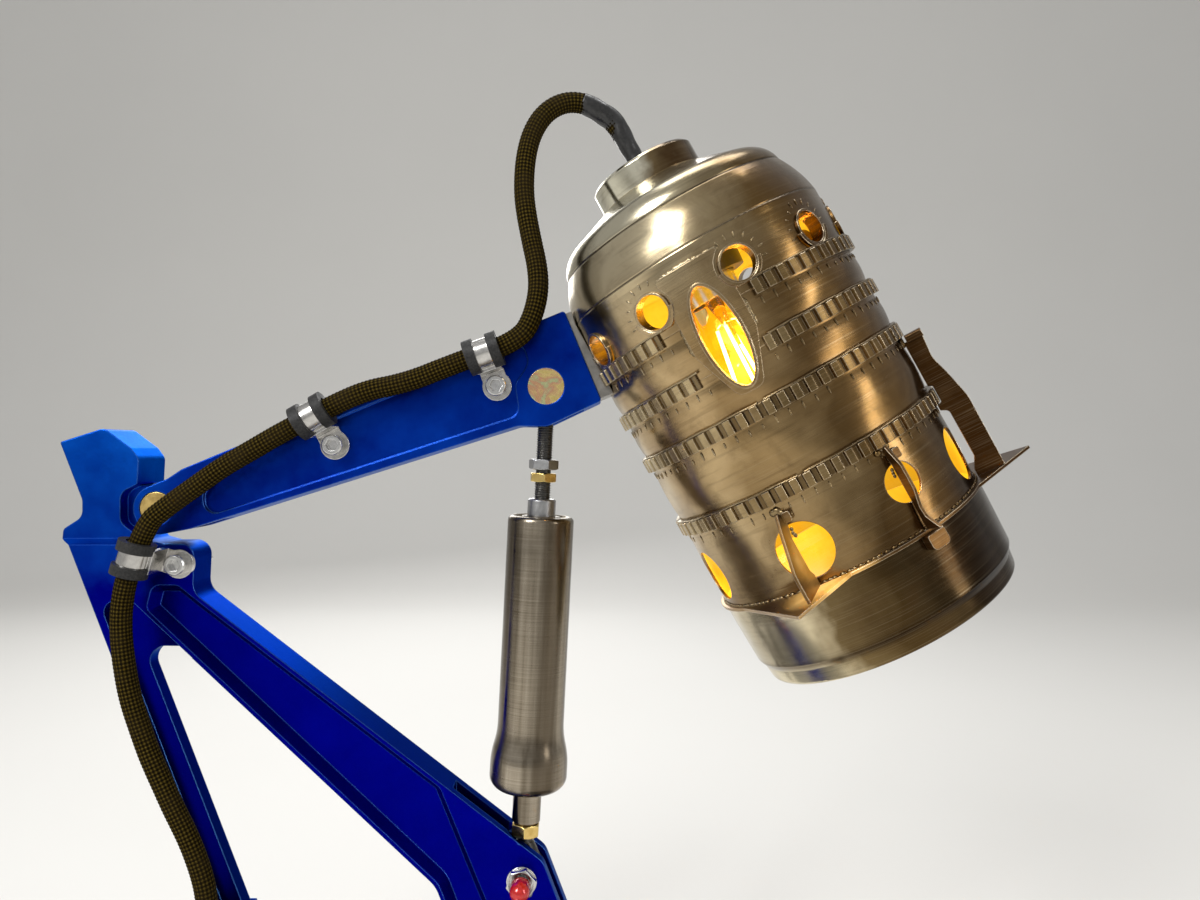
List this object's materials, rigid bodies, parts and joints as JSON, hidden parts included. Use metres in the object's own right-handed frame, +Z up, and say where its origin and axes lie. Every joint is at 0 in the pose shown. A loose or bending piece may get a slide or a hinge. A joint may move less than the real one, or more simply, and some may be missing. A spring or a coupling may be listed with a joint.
{
  "type": "desk lamp",
  "caption": "Desk lamp: a ported, crimp-banded metal can as its shade on a pivoting blue machined arm, with a frame bracket, telescopic strut, clipped woven cord and round base",
  "frame": {"origin": "centre of the base's underside, on the plane that its rubber pad rests on", "axes": "+Z up, +X from the bracket toward the lamp head, the cord's clips on the -Y side"},
  "size_m": [0.3977, 0.3196, 0.4585],
  "materials": {
    "blue_anodised": "satin anodised, fine mottle",
    "satin_steel": "satin",
    "black_rubber": "matt",
    "dark_steel": "blackened",
    "gold_pin": "polished",
    "bronze_bush": "plain",
    "zinc_yellow": "yellow zinc plated",
    "bright_steel": "polished",
    "red_anodised": "gloss",
    "brass": "turned",
    "brushed_stainless": "brushed along its length",
    "dark_plastic": "matt",
    "rocker_plastic": "gloss",
    "head_stainless": "heat-toned, used",
    "skirt_steel": "heat-toned, glossy",
    "strip_steel": "heat-toned",
    "ceramic": "glazed",
    "clear_glass": "clear",
    "glowing_filament": "glowing",
    "clip_steel": "satin",
    "woven_sleeve": "woven black and yellow",
    "shrink_black": "satin",
    "black_flex": "satin"
  },
  "bodies": {
    "stand": {"base_plate": "satin_steel", "base_pad": "black_rubber", "base_screws": "dark_steel", "frame_bracket": "blue_anodised", "arm_pivot_pin": "gold_pin", "release_pin_sleeve": "bright_steel", "release_spring": "bright_steel", "frame_clip_bands": "clip_steel", "frame_clip_cushions": "black_rubber", "frame_clip_screws": "bright_steel", "cord_elbow": "woven_sleeve", "cord_leg_run": "woven_sleeve", "cord_sleeve_end": "shrink_black", "flex_tail": "black_flex", "switch_shells": "dark_plastic", "flex_coil": "black_flex", "mains_plug": "dark_plastic", "plug_pins": "bright_steel"},
    "arm_and_head": {"swing_arm": "blue_anodised", "arm_pivot_bushes": "bronze_bush", "upper_strut_pin": "zinc_yellow", "hub_cap": "head_stainless", "dome_lid": "head_stainless", "upper_shell": "head_stainless", "port_band": "head_stainless", "shell_bands": "head_stainless", "dilution_band": "head_stainless", "lower_skirt": "skirt_steel", "crimped_strips": "strip_steel", "port_ferrules": "strip_steel", "oval_port": "head_stainless", "eared_flange": "skirt_steel", "flange_gussets": "strip_steel", "weld_tabs": "strip_steel", "head_saddle": "satin_steel", "head_bolts": "dark_steel", "hub_nipple": "brass", "lamp_holder": "dark_plastic", "holder_insert": "ceramic", "holder_contacts": "brass", "bulb_cap": "brass", "bulb_glass": "clear_glass", "bulb_filaments": "glowing_filament", "lead_wires": "dark_plastic", "arm_clip_bands": "clip_steel", "arm_clip_cushions": "black_rubber", "arm_clip_screws": "bright_steel", "cord_head_run": "woven_sleeve", "cord_shrink_sleeve": "shrink_black"},
    "strut_cylinder": {"upper_rod_end": "bright_steel", "steel_nut_and_collar": "bright_steel", "brass_jam_nut": "brass", "strut_can": "brushed_stainless", "can_guide_bush": "dark_plastic"},
    "strut_piston_rod": {"strut_rod": "brushed_stainless", "rod_brass_nut": "brass", "lower_rod_end": "bright_steel"},
    "release_button": {"red_push_button": "red_anodised", "release_pin_spindle": "bright_steel"},
    "rocker": {"switch_rocker": "rocker_plastic"}
  },
  "joints": [
    {"name": "arm_tilt", "type": "hinge", "parent": "stand", "child": "arm_and_head", "pos_m": [-0.1534, 0, 0.283], "axis": [0, -1, 0], "range_deg": [-4, 10], "deforming": ["cord_elbow"]},
    {"name": "strut_rod_pivot", "type": "hinge", "parent": "stand", "child": "strut_piston_rod", "pos_m": [-0.0026, 0, 0.1276], "axis": [0, -1, 0], "range_deg": [-1.5, 3.5]},
    {"name": "strut_cylinder_pivot", "type": "hinge", "parent": "arm_and_head", "child": "strut_cylinder", "pos_m": [0.00768, 0, 0.33338], "axis": [0, -1, 0], "range_deg": [-7.5, 3.2]},
    {"name": "release_button_press", "type": "slide", "parent": "stand", "child": "release_button", "axis": [0, 1, 0], "range_m": [0, 0.003], "stiffness_N_per_m": 600},
    {"name": "switch_rocker_tilt", "type": "hinge", "parent": "stand", "child": "rocker", "pos_m": [-0.156, 0.069, 0.0138], "axis": [1, 0, 0], "range_deg": [0, 9]}
  ],
  "couplings": [
    {"joint": "strut_rod_pivot", "follows": "arm_tilt", "ratio": 0.297},
    {"joint": "strut_cylinder_pivot", "follows": "arm_tilt", "ratio": -0.703}
  ]
}
